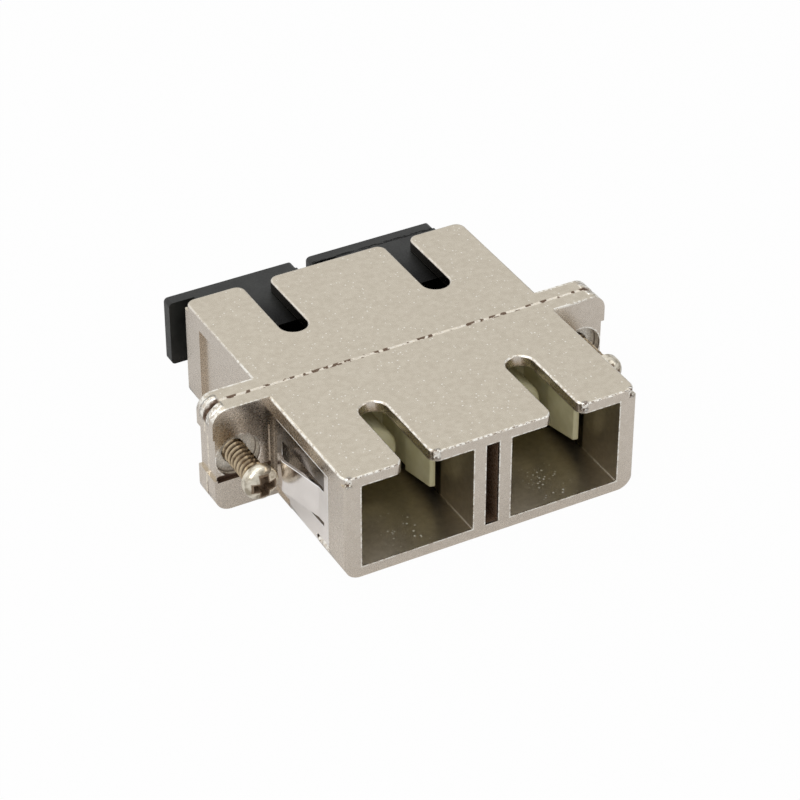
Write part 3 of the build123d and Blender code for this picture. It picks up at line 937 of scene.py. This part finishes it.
# %% Measure the screws
HEAD_RIM = 0.45
SEAT_EASE = 0.06
DOME_STEPS = 12
THREAD_PITCH = 0.5
THREAD_DEPTH = 0.2
THREAD_RADIUS = 0.95
CROSS_DEPTH = 0.85
CROSS_TAPER = 0.7
SEAT_OVERLAP = 0.1
MERGE_DISTANCE = 0.002
CUT_TOLERANCE = 0.0001
THREAD_STEPS = 28
HEAD_STEPS = 48
head_radius = (screw_high[0] - screw_low[0]) / 2 / MM
shank_length = (screw_high[1] - screw_low[1]) / MM - HEAD_HEIGHT
print("screw: head radius", round(head_radius, 3), "shank", round(shank_length, 3))

# %% [markdown]
# Thread and head both start as an outline: one tooth of the thread, and half of the head's
# section. A plane is merged to one corner, and that corner is then extruded along the
# outline point by point, as by hand with the E key. The outline stands in the XZ plane, so
# the screw is made along Z.


# %% Draw an outline
def draw_outline(name, points):
    """A chain of edges from (radius, height) pairs in millimetres."""
    clear_selection()
    bpy.ops.mesh.primitive_plane_add(size=MM, location=(0, 0, 0))
    outline = bpy.context.object
    outline.name = name
    bpy.ops.object.mode_set(mode="EDIT")
    bpy.ops.mesh.select_mode(type="VERT")
    bpy.ops.mesh.select_all(action="SELECT")
    bpy.ops.mesh.merge(type="CENTER")
    places = [Vector((radius, 0.0, height)) * MM for radius, height in points]
    bpy.ops.transform.translate(value=places[0])
    for here, there in zip(places, places[1:]):
        bpy.ops.mesh.extrude_region_move(TRANSFORM_OT_translate={"value": there - here})
    bpy.ops.object.mode_set(mode="OBJECT")
    return outline


print("an outline is drawn corner by corner")

# %% [markdown]
# A thread is one tooth's outline swept along a helix. The Screw modifier turns the tooth
# about the axis and moves it one pitch on in each turn. It could be left live, but applied
# it can be trimmed: Bisect cuts it flat at both ends and fills the cuts. The first and the
# last turn are open on one side, so the cuts are made more than a turn inward. Bisect
# takes corners within its threshold as lying on the cut, and the usual 0.1 mm is too much
# here. The thread also runs a little way into the head, so that the two shells overlap.


# %% Model the thread
def model_thread():
    """The threaded shank, closed at both ends."""
    root = THREAD_RADIUS - THREAD_DEPTH
    flat = 0.12 * THREAD_PITCH
    middle = THREAD_PITCH / 2
    crest = 0.06 * THREAD_PITCH
    tooth = [
        (root, 0.0),
        (root, flat),
        (THREAD_RADIUS, middle - crest),
        (THREAD_RADIUS, middle + crest),
        (root, THREAD_PITCH - flat),
        (root, THREAD_PITCH),
    ]
    shank = draw_outline("thread", tooth)
    turn = shank.modifiers.new("helix", "SCREW")
    turn.axis = "Z"
    turn.screw_offset = THREAD_PITCH * MM
    turn.iterations = math.ceil(shank_length / THREAD_PITCH) + 3
    turn.steps = turn.render_steps = THREAD_STEPS
    turn.use_merge_vertices = True
    turn.merge_threshold = MERGE_DISTANCE * MM
    make_active(shank)
    bpy.ops.object.modifier_apply(modifier=turn.name)
    bpy.ops.object.mode_set(mode="EDIT")
    bpy.ops.mesh.select_all(action="SELECT")
    bpy.ops.mesh.remove_doubles(threshold=MERGE_DISTANCE * MM)
    seat = 1.5 * THREAD_PITCH
    low = (seat - SEAT_OVERLAP) * MM
    high = (seat + shank_length) * MM
    cut = {"plane_no": (0, 0, 1), "use_fill": True, "threshold": CUT_TOLERANCE * MM}
    bpy.ops.mesh.bisect(plane_co=(0, 0, low), clear_inner=True, **cut)
    bpy.ops.mesh.select_all(action="SELECT")
    bpy.ops.mesh.bisect(plane_co=(0, 0, high), clear_outer=True, **cut)
    bpy.ops.mesh.select_all(action="SELECT")
    bpy.ops.transform.translate(value=(0, 0, -seat * MM))
    bpy.ops.mesh.normals_make_consistent(inside=False)
    bpy.ops.object.mode_set(mode="OBJECT")
    return shank


shank = model_thread()
print("thread faces:", len(shank.data.polygons))

# %% [markdown]
# The head is a half outline spun once round the axis. Its dome is a quarter of an ellipse,
# which a short loop draws, and the seat lies at height 0 with the crown below it. Spin
# leaves a seam of doubled corners where the turn closes, so these are merged.


# %% Model the head
def model_head():
    """The domed head, still without its cross."""
    dome = HEAD_HEIGHT - HEAD_RIM
    outline = [(0.0, 0.0), (head_radius - SEAT_EASE, 0.0), (head_radius, -SEAT_EASE)]
    for step in range(DOME_STEPS):
        turn = math.radians(90 * step / DOME_STEPS)
        outline.append((head_radius * math.cos(turn), -HEAD_RIM - dome * math.sin(turn)))
    outline.append((0.0, -HEAD_HEIGHT))
    head = draw_outline("head", outline)
    make_active(head)
    bpy.ops.object.mode_set(mode="EDIT")
    bpy.ops.mesh.select_all(action="SELECT")
    bpy.ops.mesh.spin(steps=HEAD_STEPS, angle=math.tau, center=(0, 0, 0), axis=(0, 0, 1))
    bpy.ops.mesh.select_all(action="SELECT")
    bpy.ops.mesh.remove_doubles(threshold=MERGE_DISTANCE * MM)
    bpy.ops.mesh.normals_make_consistent(inside=False)
    bpy.ops.object.mode_set(mode="OBJECT")
    return head


head = model_head()
print("head faces:", len(head.data.polygons))

# %% [markdown]
# A cross recess is struck with a tapered punch. Two bars, one turned a quarter, are each a
# cube whose inner end is drawn in. A Boolean modifier takes them out of the dome, and once
# it is applied the bar is no longer needed.


# %% Strike the cross
def strike_bar(head, turned):
    """Takes one tapered bar of the cross out of the crown."""
    crown = -HEAD_HEIGHT * MM
    clear_selection()
    bpy.ops.mesh.primitive_cube_add(size=MM, location=(0, 0, crown))
    bar = bpy.context.object
    bpy.ops.object.mode_set(mode="EDIT")
    bpy.ops.transform.resize(value=(CROSS_SPAN, CROSS_ARM, 2 * CROSS_DEPTH))
    bpy.ops.mesh.select_all(action="DESELECT")
    bpy.ops.object.mode_set(mode="OBJECT")
    for face in bar.data.polygons:
        face.select = face.normal.z > 0.9
    bpy.ops.object.mode_set(mode="EDIT")
    bpy.ops.mesh.select_mode(type="FACE")
    bpy.ops.transform.resize(value=(CROSS_TAPER, CROSS_TAPER, 1.0))
    bpy.ops.object.mode_set(mode="OBJECT")
    bar.rotation_euler = (0, 0, turned)
    settle(bar, "bar")
    cut = head.modifiers.new("cross recess", "BOOLEAN")
    cut.operation = "DIFFERENCE"
    cut.solver = "EXACT"
    cut.object = bar
    make_active(head)
    bpy.ops.object.modifier_apply(modifier=cut.name)
    bpy.data.objects.remove(bar)


strike_bar(head, 0.0)
strike_bar(head, math.pi / 2)
print("head faces with its cross:", len(head.data.polygons))

# %% [markdown]
# The two screws are copies of this one. Each copy is laid along the axis of its node, which
# its box in the frame gives, joined to one piece and shaded smooth but for its sharp
# creases. It then rides on that node's body and is shown in the node's stead.


# %% Place both screws
CREASE_ABOVE = 35.0


def place_screw(name, node):
    """A copy of the screw on a node's own axis, in that node's stead."""
    low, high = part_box(node)
    middle = [(a + b) / 2 for a, b in zip(low, high)]
    copies = []
    for source in (shank, head):
        make_active(source)
        bpy.ops.object.duplicate(linked=False)
        copy = bpy.context.object
        copy.rotation_euler = (-math.pi / 2, 0, 0)
        copy.location = (middle[0], low[1] + HEAD_HEIGHT * MM, middle[2])
        copies.append(settle(copy, name))
    make_active(copies[0])
    copies[1].select_set(True)
    bpy.ops.object.join()
    screw = bpy.context.object
    bpy.ops.object.shade_smooth_by_angle(angle=math.radians(CREASE_ABOVE))
    paint(screw, screw_metal)
    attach(screw, f"{node}_body")
    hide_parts(node)
    return screw


screws = [
    place_screw("left_flange_screw", "left_screw"),
    place_screw("right_flange_screw", "right_screw"),
]
for source in (shank, head):
    bpy.data.objects.remove(source)
print("screw faces:", [len(screw.data.polygons) for screw in screws])

# %% [markdown]
# The product stands on a plain pale floor. The camera sees the floor all but white, as in
# a catalogue photograph, through Is Camera Ray, while lamps and metal see mostly grey paper.
# That keeps the part's shadow and puts the floor's true tone into the nickel.

# %% Floor
FLOOR_SIZE = 600.0
FLOOR_GAP = 0.01
CAMERA_GLOW = 0.97
GLOSSY_GLOW = 0.2

clear_selection()
base_level = size_log["start"][0][2] / MM - FLOOR_GAP
bpy.ops.mesh.primitive_plane_add(size=FLOOR_SIZE * MM, location=(0, 0, base_level * MM))
floor = settle(bpy.context.object, "pale_floor")
paper = Finish("floor paper", roughness=0.9)
paper.set(Base_Color=colour(0.8, 0.8, 0.8))
glow = paper.tree.nodes.new("ShaderNodeEmission")
glow.inputs["Color"].default_value = colour(1, 1, 1)
rays = paper.tree.nodes.new("ShaderNodeLightPath")
blend = paper.tree.nodes.new("ShaderNodeMixShader")
seen = where_any(
    paper,
    where_all(paper, rays.outputs["Is Camera Ray"], CAMERA_GLOW),
    where_all(paper, rays.outputs["Is Glossy Ray"], GLOSSY_GLOW),
    rays.outputs["Is Transmission Ray"],
)
paper.join(seen, blend.inputs[0])
paper.join(paper.shader.outputs[0], blend.inputs[1])
paper.join(glow.outputs[0], blend.inputs[2])
paper.join(blend.outputs[0], paper.tree.nodes["Material Output"].inputs["Surface"])
paint(floor, paper.material)
floor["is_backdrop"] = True
print("floor at", round(base_level, 3), "mm")

# %% [markdown]
# Small shiny parts are photographed in a light tent, and the world stands for it. It is
# white for the camera. For the metal it is brightest above and to the left and darker to
# the front right, because nickel in an even white tent would show no shape at all.

# %% Light tent
SOFTBOX_DIRECTION = (-0.45, 0.35, 0.82)
DARK_BELOW = -0.6
WHITE_ABOVE = 0.8
DARK_SIDE = 0.45
LIGHT_GIVEN = 0.6

scene = bpy.context.scene
tent = bpy.data.worlds.new("light tent")
scene.world = tent
tent.use_nodes = True
sky = tent.node_tree
backdrop = sky.nodes["Background"]


def sky_node(kind, **settings):
    """A node of the tent with its settings."""
    node = sky.nodes.new(kind)
    for name, value in settings.items():
        setattr(node, name, value)
    return node


def sky_maximum(first, second):
    """The higher of two outputs."""
    node = sky_node("ShaderNodeMath", operation="MAXIMUM")
    sky.links.new(first, node.inputs[0])
    sky.links.new(second, node.inputs[1])
    return node.outputs[0]


tent_rays = sky_node("ShaderNodeLightPath").outputs
shown = sky_maximum(tent_rays["Is Camera Ray"], tent_rays["Is Glossy Ray"])
shown = sky_maximum(shown, tent_rays["Is Transmission Ray"])
level = sky_node("ShaderNodeMapRange")
level.inputs["To Min"].default_value = LIGHT_GIVEN
level.inputs["To Max"].default_value = 1.0
sky.links.new(shown, level.inputs["Value"])
sky.links.new(level.outputs["Result"], backdrop.inputs["Strength"])
direction = sky_node("ShaderNodeTexCoord")
towards_softbox = sky_node("ShaderNodeVectorMath", operation="DOT_PRODUCT")
towards_softbox.inputs[1].default_value = SOFTBOX_DIRECTION
sky.links.new(direction.outputs["Generated"], towards_softbox.inputs[0])
shade = sky_node("ShaderNodeMapRange")
shade.inputs["From Min"].default_value = DARK_BELOW
shade.inputs["From Max"].default_value = WHITE_ABOVE
shade.inputs["To Min"].default_value = DARK_SIDE
shade.inputs["To Max"].default_value = 1.0
sky.links.new(towards_softbox.outputs["Value"], shade.inputs["Value"])
tent_tone = sky_maximum(shade.outputs["Result"], tent_rays["Is Camera Ray"])
sky.links.new(tent_tone, backdrop.inputs["Color"])
print("tent: softbox towards", SOFTBOX_DIRECTION)

# %% [markdown]
# Three large soft lamps stand close by, because the part is only a few centimetres wide. A
# sun would throw hard shadows into the ports. Each lamp is more than half as wide as it is
# far away, which softens the shadows, and its power is low, so that pale nickel stays
# below white.


# %% Lamps
def soft_lamp(name, place, size, power):
    """A square soft lamp, placed in millimetres and aimed at the part."""
    data = bpy.data.lights.new(name, "AREA")
    data.shape = "SQUARE"
    data.size = size * MM
    data.energy = power
    lamp = bpy.data.objects.new(name, data)
    scene.collection.objects.link(lamp)
    lamp.location = Vector(place) * MM
    lamp.rotation_euler = (-lamp.location).to_track_quat("-Z", "Y").to_euler()
    return lamp


lamps = [
    soft_lamp("key, upper left", (-300, -120, 320), 300, 0.5),
    soft_lamp("fill, front right", (300, -300, 160), 300, 0.18),
    soft_lamp("top", (-40, 60, 450), 360, 0.25),
]
print("lamps:", [lamp.name for lamp in lamps])

# %% [markdown]
# The camera stands where the photograph was taken, 29 degrees to the left of straight
# ahead and high enough to look down on the top. Its lens is given in pixels of the
# photograph, so that the render and the photograph can be laid over each other.

# %% Camera
AZIMUTH = math.radians(28.76)
ELEVATION = math.radians(35.01)
ROLL = math.radians(0.15)
DISTANCE = 231.4
FOCAL_PIXELS = 2963.0
IMAGE_PIXELS = 800.0
SHIFT_RIGHT = -0.0070
SHIFT_UP = -0.0096

level_back = Vector((-math.sin(AZIMUTH), -math.cos(AZIMUTH), 0.0))
back = level_back * math.cos(ELEVATION) + Vector((0, 0, math.sin(ELEVATION)))
right = (-back).cross(Vector((0, 0, 1))).normalized()
up = right.cross(-back)
tilted_right = right * math.cos(ROLL) + up * math.sin(ROLL)
tilted_up = up * math.cos(ROLL) - right * math.sin(ROLL)
lens = bpy.data.cameras.new("product camera")
lens.sensor_width = 36.0
lens.lens = FOCAL_PIXELS / IMAGE_PIXELS * lens.sensor_width
lens.shift_x = SHIFT_RIGHT
lens.shift_y = SHIFT_UP
lens.clip_start = 0.005
lens.clip_end = 10.0
camera = bpy.data.objects.new("product camera", lens)
scene.collection.objects.link(camera)
turn = Matrix((tilted_right, tilted_up, back)).transposed()
camera.matrix_world = Matrix.Translation(back * DISTANCE * MM) @ turn.to_4x4()
scene.camera = camera
scene.view_settings.view_transform = "Standard"
print("lens", round(lens.lens, 1), "mm at", DISTANCE, "mm")

# %% [markdown]
# Last, the size of the finished object is kept beside its size at the start, and printed.

# %% Finish
size_log["end"] = [list(corner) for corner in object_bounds()]
print("size in mm:", [round((b - a) / MM, 2) for a, b in zip(*size_log["end"])])
